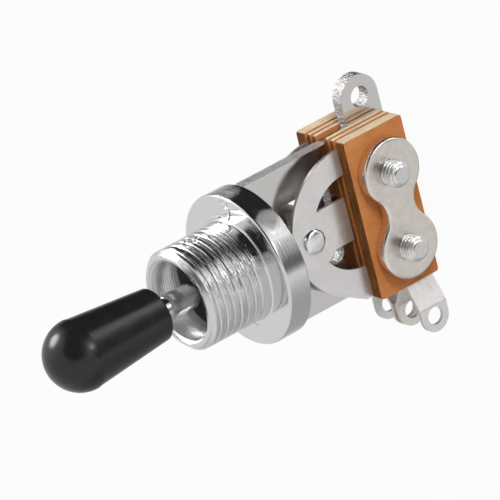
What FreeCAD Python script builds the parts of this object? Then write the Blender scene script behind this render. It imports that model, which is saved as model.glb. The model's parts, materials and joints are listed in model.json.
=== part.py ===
import FreeCAD, Part
import math
import os
from FreeCAD import Vector

# A three-position toggle switch for changing between pickups on an instrument.
# The axis of the threaded bushing is Z, with the lever's cap at the top. The origin lies on
# that axis in the flange's front face. The frame plate lies in the YZ plane, and the lever
# swings in the XZ plane, between a near contact set (+X) and a far one (-X). Millimetres.

# Bushing: a threaded barrel with a round flange at its foot
BARREL_R = 6.0
BARREL_LENGTH = 8.6
BARREL_WALL = 1.2
ROOT_ROUND = 0.3
MOUTH_CHAMFER = 0.55
BORE_CHAMFER = 0.3
FLANGE_RIM_WIDTH = 0.75
FLANGE_THICKNESS = 3.05
FLANGE_EDGE_ROUND = 0.3

# Panel thread: fine, with 60 degree grooves that are shallow under the plating and leave broad
# crests. Each turn is one ring of the thread's section.
THREAD_PITCH = 1.0
THREAD_DEPTH = 0.22
THREAD_CREST = 0.55
THREAD_FLANK_DEG = 30.0

# Frame plate: two arms, staked in the flange, that run back into the contact stack
FRAME_THICKNESS = 1.6
WINDOW_CLEARANCE = 0.7
WINDOW_CORNER_R = 1.2
WINDOW_TO_STACK = 1.0
TENON_TO_PIN = 1.0
TENON_WIDTH = 1.4
TENON_ROUND = 0.3
TENON_CLEARANCE = 0.05
GROUND_LUG_WIDTH = 5.1
GROUND_LUG_REACH = 2.55
GROUND_LUG_OVERHANG = 0.2
GROUND_HOLE_R = 1.22
GROUND_LUG_ROOT_R = 0.5

# Contact stack: insulating wafers and spring leaves on both faces of the frame plate
STACK_LENGTH = 8.35
INNER_WAFER_THICKNESS = 0.6
OUTER_WAFER_THICKNESS = 0.75
WAFER_OVERHANG = 0.25
WAFER_CORNER_R = 0.4
LEAF_THICKNESS = 0.4

# Moving leaf: a half ring with a disc, which carries a contact rivet, on its inner edge
RING_R = 8.65
RING_BAND_WIDTH = 3.05
RING_TO_FLANGE = 3.1
RING_TUCK = 0.5
DISC_R = 3.3
DISC_FORWARD = 0.3
LEG_FLARE = 0.75
LEG_LENGTH = 0.9
LEG_TAPER_LENGTH = 3.6

# Fixed leaf: a straight tongue under the disc
TONGUE_HALF_WIDTH = 2.6
TONGUE_CORNER_R = 0.8
TONGUE_MARGIN = 0.25
FIXED_ROOT_MARGIN = 0.35

# Solder lugs at the lower ends of the leaves. Each runs straight down, bends over and settles
# upright again above its hole. A splay is how far a moving leaf's end stands out, and the fixed
# leaves' ends are pinched together beside the frame plate's middle plane.
LUG_WIDTH = 3.8
LUG_REACH = 4.85
LUG_HOLE_R = 1.03
LUG_SETTLE = 0.15
LUG_BEND_ROUND = 0.3
LUG_ROOT_TUCK = 1.0
MOVING_LUG_STRAIGHT = 0.5
NEAR_MOVING_SPLAY = 1.5
FAR_MOVING_SPLAY = 1.65
NEAR_FIXED_STRAIGHT = 1.2
FAR_FIXED_STRAIGHT = 2.6
PINCH_OFFSET = -0.5
PINCH_GAP = 0.5

# Contact rivets
RIVET_HEAD_R = 1.5
RIVET_HEAD_HEIGHT = 0.75
RIVET_SHANK_R = 0.8
BUTTON_R = 1.2
FIXED_RIVET_HEAD_R = 1.0
FIXED_RIVET_HEAD_HEIGHT = 0.2
RIVET_CLEARANCE = 0.01

# Clamp screws with insulating sleeves, and the tapped plate that they pull up against
SCREW_R = 1.5
SCREW_SPACING = 9.14
SCREW_PROTRUSION = 2.1
SCREW_TIP_CHAMFER = 0.35
SCREW_HEAD_R = 2.75
SCREW_HEAD_HEIGHT = 1.7
SCREW_HEAD_ROUND = 0.7
RECESS_HALF_SPAN = 1.5
RECESS_WIDTH = 0.55
RECESS_DEPTH = 1.0
SLEEVE_WALL = 0.42
SLEEVE_CLEARANCE = 0.04
PLATE_LOBE_R = 3.84
PLATE_WAIST_HALF = 2.0
PLATE_THICKNESS = 1.6
PLATE_SETBACK = 0.35
PLATE_EDGE_ROUND = 0.35
PLATE_THREAD_CLEARANCE = 0.02

# Lever: a turned rod with a ball at the pivot pin and a flat blade between the leaves
SWING_DEG = 13.0
PIN_R = 0.98
PIN_GROOVE_CLEARANCE = 0.02
PIN_RUNNING_CLEARANCE = 0.04
PIN_SEAT_LENGTH = 1.1
PIN_END_CHAMFER = 0.15
ROD_R = 1.5
HUB_R = 2.9
BLADE_HALF_WIDTH = 4.0
BLADE_NECK_HALF_WIDTH = 1.9
BLADE_NECK_LENGTH = 2.4
BLADE_TAPER_LENGTH = 1.3
BLADE_CORNER_R = 0.6
BLADE_TIP_ROUND = 0.25
BLADE_TO_TONGUE = 0.2
BLADE_TO_LEAF = 0.08

# Cap: a moulded tip pressed on the rod, a cone that narrows to its base under a half round end
CAP_TO_BARREL = 3.05
CAP_LENGTH = 15.0
CAP_BASE_R = 3.18
CAP_BASE_ROUND = 0.45
CAP_TOP_R = 4.14
CAP_RIM = 0.06
CAP_SOCKET_MARGIN = 3.2
CAP_PRESS_CLEARANCE = 0.01

# From the bore outwards: the pin's seat, the tenon and the flange's rim. The frame plate is as
# wide as the flange.
BORE_R = BARREL_R - BARREL_WALL
THREAD_TOP = BARREL_LENGTH - MOUTH_CHAMFER - THREAD_CREST
THREAD_TURNS = int((THREAD_TOP - ROOT_ROUND) / THREAD_PITCH)
PIN_HALF_LENGTH = BORE_R + PIN_SEAT_LENGTH
TENON_INNER = PIN_HALF_LENGTH + TENON_TO_PIN
TENON_OUTER = TENON_INNER + TENON_WIDTH
FLANGE_R = TENON_OUTER + FLANGE_RIM_WIDTH
FRAME_HALF_WIDTH = FLANGE_R
WINDOW_HALF_WIDTH = BLADE_HALF_WIDTH + WINDOW_CLEARANCE

# From the flange rearwards: the pin lies flush in the flange's back, and the ring clears it
FLANGE_BACK = -FLANGE_THICKNESS
PIVOT_Z = FLANGE_BACK + PIN_R + PIN_GROOVE_CLEARANCE
STACK_FRONT = FLANGE_BACK - RING_TO_FLANGE - RING_R
STACK_REAR = STACK_FRONT - STACK_LENGTH
SCREW_Z = STACK_FRONT - STACK_LENGTH / 2
SCREW_Y = SCREW_SPACING / 2
RING_BORE_R = RING_R - RING_BAND_WIDTH
CONTACT_Z = STACK_FRONT + RING_BORE_R + DISC_FORWARD
TONGUE_FRONT = CONTACT_Z + BUTTON_R + TONGUE_MARGIN
CAP_BASE_HEIGHT = BARREL_LENGTH + CAP_TO_BARREL

# The wafers cover the leaves' roots, and the lugs stand out past the wafers
LEAF_ROOT_BOTTOM = -RING_R - LEG_FLARE
WAFER_HALF_WIDTH = WAFER_OVERHANG - LEAF_ROOT_BOTTOM
LUG_HOLE_Y = -WAFER_HALF_WIDTH - LUG_REACH
GROUND_HOLE_Y = WAFER_HALF_WIDTH + GROUND_LUG_REACH
SLEEVE_BORE_R = SCREW_R + SLEEVE_CLEARANCE
SLEEVE_R = SLEEVE_BORE_R + SLEEVE_WALL
STACK_HOLE_R = SLEEVE_R + SLEEVE_CLEARANCE
FAR_SIDE, NEAR_SIDE = -1, 1

# The layers on one face of the frame plate, from the plate outwards
LAYER_THICKNESSES = {
    "wafer_1": INNER_WAFER_THICKNESS,
    "fixed_leaf": LEAF_THICKNESS,
    "wafer_2": INNER_WAFER_THICKNESS,
    "moving_leaf": LEAF_THICKNESS,
    "wafer_3": OUTER_WAFER_THICKNESS,
    "wafer_4": OUTER_WAFER_THICKNESS,
}


def layer_start(name):
    """Distance from the YZ plane to the inner face of a layer."""
    x = FRAME_THICKNESS / 2
    for layer, thickness in LAYER_THICKNESSES.items():
        if layer == name:
            return x
        x += thickness


STACK_HALF_THICKNESS = FRAME_THICKNESS / 2 + sum(LAYER_THICKNESSES.values())
MOVING_LEAF_X = layer_start("moving_leaf")
FIXED_LEAF_X = layer_start("fixed_leaf")
CONTACT_FACE_X = (MOVING_LEAF_X + FIXED_LEAF_X + LEAF_THICKNESS) / 2

# The blade is as thick as it can be without touching a leaf at the end of its swing
SWING = math.radians(SWING_DEG)
BLADE_REACH = PIVOT_Z - TONGUE_FRONT - BLADE_TO_TONGUE
BLADE_SWEEP = BLADE_REACH * math.sin(SWING)
BLADE_HALF_THICKNESS = (MOVING_LEAF_X - BLADE_TO_LEAF - BLADE_SWEEP) / math.cos(SWING)


def polygon_face(points):
    """Flat face bounded by straight lines through the points."""
    return Part.Face(Part.makePolygon(points + [points[0]]))


def rectangle(y_low, y_high, z_low, z_high, x=0.0):
    """Rectangular face in a plane of constant X."""
    return polygon_face([Vector(x, y_low, z_low), Vector(x, y_high, z_low),
                         Vector(x, y_high, z_high), Vector(x, y_low, z_high)])


def disc(radius, y, z, x=0.0):
    """Round face in a plane of constant X."""
    circle = Part.Circle(Vector(x, y, z), Vector(1, 0, 0), radius)
    return Part.Face(Part.Wire(circle.toShape()))


def hole_along_x(radius, y, z):
    """Cylinder right through the stack along X, for cutting a hole."""
    reach = STACK_HALF_THICKNESS + LUG_REACH
    return Part.makeCylinder(radius, 2 * reach, Vector(-reach, y, z), Vector(1, 0, 0))


def cylinder_along_y(radius, half_length):
    """Cylinder on the pivot's axis."""
    return Part.makeCylinder(radius, 2 * half_length, Vector(0, -half_length, PIVOT_Z), Vector(0, 1, 0))


def screw_holes():
    """The two clearance holes that every layer has for the sleeved screws."""
    return [hole_along_x(STACK_HOLE_R, side * SCREW_Y, SCREW_Z) for side in (-1, 1)]


def sheet(face, start, thickness, side):
    """Face in the YZ plane turned into a sheet that starts at a distance from the plane."""
    solid = face.extrude(Vector(side * thickness, 0, 0))
    solid.translate(Vector(side * start, 0, 0))
    return solid


def edges_along(shape, direction, keep):
    """Straight edges parallel to a direction whose middle passes a test."""
    found = []
    for edge in shape.Edges:
        if not isinstance(edge.Curve, Part.Line):
            continue
        tangent = edge.tangentAt(edge.FirstParameter)
        if abs(tangent.dot(direction)) > 0.999 and keep(edge.CenterOfMass):
            found.append(edge)
    return found


def revolved(profile):
    """Closed profile in the XZ half plane turned about Z into one solid."""
    return Part.Face(profile).revolve(Vector(0, 0, 0), Vector(0, 0, 1), 360)


def line(start, end):
    """Straight edge between two (radius, height) points of a turned profile."""
    return Part.LineSegment(Vector(start[0], 0, start[1]), Vector(end[0], 0, end[1])).toShape()


def arc(start, middle, end):
    """Arc through three (radius, height) points of a turned profile."""
    points = [Vector(r, 0, z) for r, z in (start, middle, end)]
    return Part.Arc(*points).toShape()


def quarter_round(start, end, centre, radius):
    """Quarter arc between two points of a turned profile about a centre."""
    mid_r = (start[0] + end[0]) / 2 - centre[0]
    mid_z = (start[1] + end[1]) / 2 - centre[1]
    scale = radius / math.hypot(mid_r, mid_z)
    return arc(start, (centre[0] + mid_r * scale, centre[1] + mid_z * scale), end)


def thread_lines(start, end):
    """Side of the barrel from the mouth's chamfer down to the root, with the thread's grooves."""
    flank = THREAD_DEPTH * math.tan(math.radians(THREAD_FLANK_DEG))
    root_r = BARREL_R - THREAD_DEPTH
    points = [start]
    for turn in range(THREAD_TURNS):
        high = THREAD_TOP - turn * THREAD_PITCH
        low = high - THREAD_PITCH + THREAD_CREST
        points += [(BARREL_R, high), (root_r, high - flank), (root_r, low + flank), (BARREL_R, low)]
    points.append(end)
    return [line(above, below) for above, below in zip(points, points[1:])]


def bushing():
    """Turned barrel and flange with a pin groove and two tenon slots cut in the flange."""
    top = BARREL_LENGTH
    edge = FLANGE_EDGE_ROUND
    root = ROOT_ROUND
    bore_low = (BORE_R, FLANGE_BACK)
    bore_high = (BORE_R, top - BORE_CHAMFER)
    mouth_inner = (BORE_R + BORE_CHAMFER, top)
    mouth_outer = (BARREL_R - MOUTH_CHAMFER, top)
    barrel_high = (BARREL_R, top - MOUTH_CHAMFER)
    barrel_low = (BARREL_R, root)
    face_inner = (BARREL_R + root, 0)
    face_outer = (FLANGE_R - edge, 0)
    rim_high = (FLANGE_R, -edge)
    rim_low = (FLANGE_R, FLANGE_BACK)
    profile = Part.Wire([
        line(bore_low, bore_high),
        line(bore_high, mouth_inner),
        line(mouth_inner, mouth_outer),
        line(mouth_outer, barrel_high),
        *thread_lines(barrel_high, barrel_low),
        quarter_round(barrel_low, face_inner, (BARREL_R + root, root), root),
        line(face_inner, face_outer),
        quarter_round(face_outer, rim_high, (FLANGE_R - edge, -edge), edge),
        line(rim_high, rim_low),
        line(rim_low, bore_low),
    ])
    body = revolved(profile)
    groove_r = PIN_R + PIN_GROOVE_CLEARANCE
    half_length = PIN_HALF_LENGTH + PIN_GROOVE_CLEARANCE
    groove = cylinder_along_y(groove_r, half_length)
    mouth = Part.makeBox(2 * groove_r, 2 * half_length, PIVOT_Z - FLANGE_BACK,
                         Vector(-groove_r, -half_length, FLANGE_BACK))
    cutters = [groove, mouth]
    for side in (-1, 1):
        cutters.append(tenon(side, TENON_CLEARANCE, FLANGE_BACK, FLANGE_THICKNESS))
    return body.cut(cutters)


def tenon(side, grow, start, height):
    """Block of a frame tenon's section, grown all round to make its slot in the flange."""
    half_x = FRAME_THICKNESS / 2 + grow
    width = TENON_WIDTH + 2 * grow
    y_low = TENON_INNER - grow if side > 0 else -TENON_OUTER - grow
    block = Part.makeBox(2 * half_x, width, height, Vector(-half_x, y_low, start))
    corners = edges_along(block, Vector(0, 0, 1), lambda middle: True)
    return block.makeFillet(TENON_ROUND + grow, corners)


def frame_plate():
    """Punched plate: a window for the lever, two tenons, screw holes and a ground lug."""
    half = FRAME_HALF_WIDTH
    outline = rectangle(-half, half, STACK_REAR, FLANGE_BACK)
    lug_y = GROUND_HOLE_Y
    lug_r = GROUND_LUG_WIDTH / 2
    lug_rear = STACK_REAR - GROUND_LUG_OVERHANG
    lug_z = lug_rear + lug_r
    neck = rectangle(0, lug_y, lug_rear, lug_rear + GROUND_LUG_WIDTH)
    face = outline.fuse([neck, disc(lug_r, lug_y, lug_z)]).removeSplitter().Faces[0]
    plate = sheet(face, -FRAME_THICKNESS / 2, FRAME_THICKNESS, 1)

    def at_lug_root(middle):
        return abs(middle.y - half) < 0.01 and abs(middle.z - lug_rear - GROUND_LUG_WIDTH) < 0.01

    plate = plate.makeFillet(GROUND_LUG_ROOT_R, edges_along(plate, Vector(1, 0, 0), at_lug_root))
    window_rear = STACK_FRONT + WINDOW_TO_STACK
    window = sheet(rectangle(-WINDOW_HALF_WIDTH, WINDOW_HALF_WIDTH, window_rear, 0), -FRAME_THICKNESS,
                   2 * FRAME_THICKNESS, 1)
    rear_corners = edges_along(window, Vector(1, 0, 0), lambda middle: middle.z < window_rear + 0.01)
    window = window.makeFillet(WINDOW_CORNER_R, rear_corners)
    plate = plate.cut([window, hole_along_x(GROUND_HOLE_R, lug_y, lug_z)] + screw_holes())
    tenons = [tenon(side, 0, FLANGE_BACK, FLANGE_THICKNESS - TENON_CLEARANCE) for side in (-1, 1)]
    return plate.fuse(tenons).removeSplitter()


def wafer(layer, side):
    """Rectangular insulating wafer with rounded corners and two screw holes."""
    half = WAFER_HALF_WIDTH
    blank = sheet(rectangle(-half, half, STACK_REAR, STACK_FRONT), layer_start(layer),
                  LAYER_THICKNESSES[layer], side)
    corners = edges_along(blank, Vector(1, 0, 0), lambda middle: True)
    return blank.makeFillet(WAFER_CORNER_R, corners).cut(screw_holes())


def bent_strip(path, thickness, z_low, z_high):
    """Strip of constant thickness along a path of (x, y) points, with rounded bends."""
    left, right = [], []
    for index, (x, y) in enumerate(path):
        before = path[max(index - 1, 0)]
        after = path[min(index + 1, len(path) - 1)]
        incoming = unit(x - before[0], y - before[1]) if index > 0 else unit(after[0] - x, after[1] - y)
        outgoing = unit(after[0] - x, after[1] - y) if index < len(path) - 1 else incoming
        normal = unit(-(incoming[1] + outgoing[1]), incoming[0] + outgoing[0])
        spread = thickness / 2 / (normal[0] * -incoming[1] + normal[1] * incoming[0])
        left.append(Vector(x + normal[0] * spread, y + normal[1] * spread, z_low))
        right.append(Vector(x - normal[0] * spread, y - normal[1] * spread, z_low))
    strip = polygon_face(left + right[::-1]).extrude(Vector(0, 0, z_high - z_low))
    y_first, y_last = path[0][1], path[-1][1]

    def at_bend(middle):
        return min(abs(middle.y - y_first), abs(middle.y - y_last)) > 0.01

    bends = edges_along(strip, Vector(0, 0, 1), at_bend)
    return strip.makeFillet(LUG_BEND_ROUND, bends)


def unit(x, y):
    """Direction of a plane vector."""
    length = math.hypot(x, y)
    return x / length, y / length


def solder_lug(layer, side, root_bottom, straight, end_x):
    """Lug that leaves a leaf's root in its layer and ends, bent over, in the plane at end_x."""
    start_x = side * (layer_start(layer) + LEAF_THICKNESS / 2)
    end_r = LUG_WIDTH / 2
    bottom = LUG_HOLE_Y - end_r
    bend_y = -WAFER_HALF_WIDTH - straight
    settle_y = LUG_HOLE_Y + LUG_HOLE_R + LUG_SETTLE
    path = [(start_x, root_bottom + LUG_ROOT_TUCK), (start_x, bend_y), (end_x, settle_y), (end_x, bottom)]
    z_high = STACK_REAR + LUG_WIDTH
    strip = bent_strip(path, LEAF_THICKNESS, STACK_REAR, z_high)
    reach = 2 * (STACK_HALF_THICKNESS + LUG_REACH)
    lug_z = STACK_REAR + end_r
    outline = rectangle(LUG_HOLE_Y, 0, STACK_REAR, z_high).fuse(disc(end_r, LUG_HOLE_Y, lug_z))
    outline = outline.removeSplitter().Faces[0]
    blank = sheet(outline, -reach / 2, reach, 1)
    return strip.common(blank).cut(hole_along_x(LUG_HOLE_R, LUG_HOLE_Y, lug_z))


def moving_leaf(side, splay):
    """Spring leaf: a half ring with an inner disc in front, a clamped root and a solder lug."""
    def layer(face):
        return sheet(face, MOVING_LEAF_X, LEAF_THICKNESS, side)

    behind = layer(rectangle(LEAF_ROOT_BOTTOM, RING_R, STACK_REAR, STACK_FRONT))
    leg_front = STACK_FRONT + LEG_LENGTH
    meet_y = -math.sqrt(RING_R ** 2 - (LEG_LENGTH + LEG_TAPER_LENGTH) ** 2)
    leg = layer(polygon_face([Vector(0, y, z) for y, z in (
        (LEAF_ROOT_BOTTOM, STACK_FRONT), (LEAF_ROOT_BOTTOM, leg_front),
        (meet_y, leg_front + LEG_TAPER_LENGTH), (-RING_BORE_R, STACK_FRONT))]))
    ahead = layer(rectangle(-RING_R, RING_R, STACK_FRONT, 0))
    tuck = layer(rectangle(-RING_BORE_R, RING_BORE_R, STACK_FRONT - RING_TUCK, STACK_FRONT))
    ring = layer(disc(RING_R, 0, STACK_FRONT)).cut(layer(disc(RING_BORE_R, 0, STACK_FRONT))).common(ahead)
    end_x = side * (MOVING_LEAF_X + LEAF_THICKNESS / 2 + splay)
    lug = solder_lug("moving_leaf", side, LEAF_ROOT_BOTTOM, MOVING_LUG_STRAIGHT, end_x)
    leaf = behind.cut(tuck).fuse([ring, leg, layer(disc(DISC_R, 0, CONTACT_Z)), lug]).removeSplitter()
    shank_hole = hole_along_x(RIVET_SHANK_R + RIVET_CLEARANCE, 0, CONTACT_Z)
    return leaf.cut(screw_holes() + [shank_hole])


def fixed_leaf(side, straight):
    """Leaf with a straight tongue under the disc, and a lug bent to meet the other one's."""
    half = RING_R - FIXED_ROOT_MARGIN
    root = rectangle(-half, half, STACK_REAR, STACK_FRONT - FIXED_ROOT_MARGIN)
    tongue = rectangle(-TONGUE_HALF_WIDTH, TONGUE_HALF_WIDTH, SCREW_Z, TONGUE_FRONT)
    leaf = sheet(root.fuse(tongue).removeSplitter().Faces[0], FIXED_LEAF_X, LEAF_THICKNESS, side)
    tip = edges_along(leaf, Vector(1, 0, 0), lambda middle: middle.z > TONGUE_FRONT - 0.01)
    leaf = leaf.makeFillet(TONGUE_CORNER_R, tip)
    end_x = PINCH_OFFSET + side * (LEAF_THICKNESS + PINCH_GAP) / 2
    lug = solder_lug("fixed_leaf", side, -half, straight, end_x)
    shank_hole = hole_along_x(RIVET_SHANK_R + RIVET_CLEARANCE, 0, CONTACT_Z)
    return leaf.fuse(lug).removeSplitter().cut(screw_holes() + [shank_hole])


def moving_contact(side):
    """Rivet through the disc: a low domed head outside and the contact button inside."""
    outer = MOVING_LEAF_X + LEAF_THICKNESS
    profile = Part.Wire([
        line((0, CONTACT_FACE_X), (BUTTON_R, CONTACT_FACE_X)),
        line((BUTTON_R, CONTACT_FACE_X), (BUTTON_R, MOVING_LEAF_X)),
        line((BUTTON_R, MOVING_LEAF_X), (RIVET_SHANK_R, MOVING_LEAF_X)),
        line((RIVET_SHANK_R, MOVING_LEAF_X), (RIVET_SHANK_R, outer)),
        line((RIVET_SHANK_R, outer), (RIVET_HEAD_R, outer)),
        dome((RIVET_HEAD_R, outer), RIVET_HEAD_HEIGHT),
        line((0, outer + RIVET_HEAD_HEIGHT), (0, CONTACT_FACE_X)),
    ])
    return laid_along_x(revolved(profile), side)


def fixed_contact(side):
    """Rivet through the tongue: the contact button outside and a flat head inside."""
    outer = FIXED_LEAF_X + LEAF_THICKNESS
    head = FIXED_LEAF_X - FIXED_RIVET_HEAD_HEIGHT
    profile = Part.Wire([
        line((0, head), (FIXED_RIVET_HEAD_R, head)),
        line((FIXED_RIVET_HEAD_R, head), (FIXED_RIVET_HEAD_R, FIXED_LEAF_X)),
        line((FIXED_RIVET_HEAD_R, FIXED_LEAF_X), (RIVET_SHANK_R, FIXED_LEAF_X)),
        line((RIVET_SHANK_R, FIXED_LEAF_X), (RIVET_SHANK_R, outer)),
        line((RIVET_SHANK_R, outer), (BUTTON_R, outer)),
        line((BUTTON_R, outer), (BUTTON_R, CONTACT_FACE_X)),
        line((BUTTON_R, CONTACT_FACE_X), (0, CONTACT_FACE_X)),
        line((0, CONTACT_FACE_X), (0, head)),
    ])
    return laid_along_x(revolved(profile), side)


def dome(edge, height):
    """Arc from a point on a turned profile up to the axis."""
    radius = (edge[0] ** 2 + height ** 2) / (2 * height)
    half_angle = math.asin(edge[0] / radius) / 2
    centre = edge[1] + height - radius
    middle = (radius * math.sin(half_angle), centre + radius * math.cos(half_angle))
    return arc(edge, middle, (0, edge[1] + height))


def laid_along_x(solid, side):
    """Turned piece laid from the Z axis onto the contacts' axis, outer end away from the plate."""
    solid.rotate(Vector(0, 0, 0), Vector(0, 1, 0), side * 90)
    solid.translate(Vector(0, 0, CONTACT_Z))
    return solid


def insulating_sleeve(side):
    """Tube round a screw, through every layer of the stack."""
    start = Vector(-STACK_HALF_THICKNESS, side * SCREW_Y, SCREW_Z)
    length = 2 * STACK_HALF_THICKNESS
    tube = Part.makeCylinder(SLEEVE_R, length, start, Vector(1, 0, 0))
    return tube.cut(Part.makeCylinder(SLEEVE_BORE_R, length, start, Vector(1, 0, 0)))


def clamp_screw(side):
    """Pan-head screw from the far face, through the sleeve and the clamp plate."""
    length = 2 * STACK_HALF_THICKNESS + PLATE_THICKNESS + SCREW_PROTRUSION
    head_start = Vector(-STACK_HALF_THICKNESS - SCREW_HEAD_HEIGHT, side * SCREW_Y, SCREW_Z)
    shank = Part.makeCylinder(SCREW_R, length + SCREW_HEAD_HEIGHT, head_start, Vector(1, 0, 0))
    tip_x = head_start.x + length + SCREW_HEAD_HEIGHT
    tip = [edge for edge in shank.Edges if abs(edge.BoundBox.XMin - tip_x) < 0.001]
    shank = shank.makeChamfer(SCREW_TIP_CHAMFER, tip)
    head = Part.makeCylinder(SCREW_HEAD_R, SCREW_HEAD_HEIGHT, head_start, Vector(1, 0, 0))
    crown = [edge for edge in head.Edges if abs(edge.BoundBox.XMax - head_start.x) < 0.001]
    head = head.makeFillet(SCREW_HEAD_ROUND, crown)
    screw = shank.fuse(head).removeSplitter()
    slots = []
    for span_y, span_z in ((RECESS_HALF_SPAN, RECESS_WIDTH / 2), (RECESS_WIDTH / 2, RECESS_HALF_SPAN)):
        corner = Vector(head_start.x, head_start.y - span_y, head_start.z - span_z)
        slots.append(Part.makeBox(RECESS_DEPTH, 2 * span_y, 2 * span_z, corner))
    return screw.cut(slots)


def clamp_plate():
    """Tapped plate with two round lobes and a waist, its edges rounded."""
    reach = SCREW_Y ** 2 + PLATE_WAIST_HALF ** 2 - PLATE_LOBE_R ** 2
    hollow_r = reach / (2 * (PLATE_LOBE_R - PLATE_WAIST_HALF))
    hollow_z = PLATE_WAIST_HALF + hollow_r
    tangent_share = hollow_r / (hollow_r + PLATE_LOBE_R)
    tangent_y = SCREW_Y * tangent_share
    tangent_z = hollow_z * (1 - tangent_share)
    lobe_end = SCREW_Y + PLATE_LOBE_R
    plate_z = SCREW_Z - PLATE_SETBACK

    def edge_arc(start, middle, end):
        return Part.Arc(*[Vector(0, y, plate_z + z) for y, z in (start, middle, end)]).toShape()

    outline = Part.Wire([
        edge_arc((tangent_y, tangent_z), (lobe_end, 0), (tangent_y, -tangent_z)),
        edge_arc((tangent_y, -tangent_z), (0, -PLATE_WAIST_HALF), (-tangent_y, -tangent_z)),
        edge_arc((-tangent_y, -tangent_z), (-lobe_end, 0), (-tangent_y, tangent_z)),
        edge_arc((-tangent_y, tangent_z), (0, PLATE_WAIST_HALF), (tangent_y, tangent_z)),
    ])
    plate = sheet(Part.Face(outline), STACK_HALF_THICKNESS, PLATE_THICKNESS, NEAR_SIDE)
    rims = [edge for edge in plate.Edges if edge.BoundBox.XLength < 0.001]
    plate = plate.makeFillet(PLATE_EDGE_ROUND, rims)
    thread_r = SCREW_R + PLATE_THREAD_CLEARANCE
    return plate.cut([hole_along_x(thread_r, side * SCREW_Y, SCREW_Z) for side in (-1, 1)])


def pivot_pin():
    """Plain pin across the bore, held in the flange's groove by the frame's arms."""
    pin = cylinder_along_y(PIN_R, PIN_HALF_LENGTH)
    ends = [edge for edge in pin.Edges if isinstance(edge.Curve, Part.Circle)]
    return pin.makeChamfer(PIN_END_CHAMFER, ends)


def lever():
    """Rod, ball and blade in one piece, cross-drilled for the pivot pin."""
    rod_top = CAP_BASE_HEIGHT + CAP_LENGTH - CAP_SOCKET_MARGIN
    rod = Part.makeCylinder(ROD_R, rod_top - PIVOT_Z, Vector(0, 0, PIVOT_Z), Vector(0, 0, 1))
    hub = Part.makeSphere(HUB_R, Vector(0, 0, PIVOT_Z))
    neck_end = PIVOT_Z - BLADE_NECK_LENGTH
    wide_start = neck_end - BLADE_TAPER_LENGTH
    tip_z = PIVOT_Z - BLADE_REACH
    neck, wide = BLADE_NECK_HALF_WIDTH, BLADE_HALF_WIDTH
    outline = polygon_face([Vector(0, y, z) for y, z in (
        (-neck, PIVOT_Z), (-neck, neck_end), (-wide, wide_start), (-wide, tip_z),
        (wide, tip_z), (wide, wide_start), (neck, neck_end), (neck, PIVOT_Z))])
    blade = sheet(outline, -BLADE_HALF_THICKNESS, 2 * BLADE_HALF_THICKNESS, 1)
    corners = edges_along(blade, Vector(1, 0, 0), lambda middle: abs(middle.y) > wide - 0.01)
    blade = blade.makeFillet(BLADE_CORNER_R, corners)
    tip = edges_along(blade, Vector(0, 1, 0), lambda middle: middle.z < tip_z + 0.01)
    blade = blade.makeFillet(BLADE_TIP_ROUND, tip)
    body = rod.fuse([hub, blade]).removeSplitter()
    return body.cut(cylinder_along_y(PIN_R + PIN_RUNNING_CLEARANCE, 2 * HUB_R))


def lever_tip():
    """Moulded cap: a flaring skirt, a fine rim at the widest place and a half round end."""
    base = CAP_BASE_HEIGHT
    top = base + CAP_LENGTH
    socket_r = ROD_R + CAP_PRESS_CLEARANCE
    socket_top = top - CAP_SOCKET_MARGIN + CAP_PRESS_CLEARANCE
    edge = CAP_BASE_ROUND
    rim = CAP_TOP_R + CAP_RIM
    shoulder = top - rim
    profile = Part.Wire([
        line((0, socket_top), (socket_r, socket_top)),
        line((socket_r, socket_top), (socket_r, base)),
        line((socket_r, base), (CAP_BASE_R - edge, base)),
        quarter_round((CAP_BASE_R - edge, base), (CAP_BASE_R, base + edge),
                      (CAP_BASE_R - edge, base + edge), edge),
        line((CAP_BASE_R, base + edge), (CAP_TOP_R, shoulder - CAP_RIM)),
        line((CAP_TOP_R, shoulder - CAP_RIM), (rim, shoulder)),
        quarter_round((rim, shoulder), (0, top), (0, shoulder), rim),
        line((0, top), (0, socket_top)),
    ])
    return revolved(profile)


def all_parts():
    """Every sub-part by the name of its node."""
    parts = {
        "bushing": bushing(),
        "frame_plate": frame_plate(),
        "pivot_pin": pivot_pin(),
        "lever": lever(),
        "lever_tip": lever_tip(),
        "moving_leaf_near": moving_leaf(NEAR_SIDE, NEAR_MOVING_SPLAY),
        "moving_leaf_far": moving_leaf(FAR_SIDE, FAR_MOVING_SPLAY),
        "fixed_leaf_near": fixed_leaf(NEAR_SIDE, NEAR_FIXED_STRAIGHT),
        "fixed_leaf_far": fixed_leaf(FAR_SIDE, FAR_FIXED_STRAIGHT),
        "clamp_plate": clamp_plate(),
    }
    for label, side in (("near", NEAR_SIDE), ("far", FAR_SIDE)):
        parts[f"moving_contact_{label}"] = moving_contact(side)
        parts[f"fixed_contact_{label}"] = fixed_contact(side)
        for number in range(1, 5):
            parts[f"wafer_{label}_{number}"] = wafer(f"wafer_{number}", side)
    for label, side in (("top", 1), ("bottom", -1)):
        parts[f"insulating_sleeve_{label}"] = insulating_sleeve(side)
        parts[f"clamp_screw_{label}"] = clamp_screw(side)
    return parts


os.makedirs("parts", exist_ok=True)
for name, shape in all_parts().items():
    shape = shape.Solids[0] if len(shape.Solids) == 1 else shape
    shape.exportStep(f"parts/{name}.step")
    print(f"{name}: {len(shape.Solids)} solid, {shape.Volume:.3f} mm3, valid {shape.isValid()}")
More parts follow.
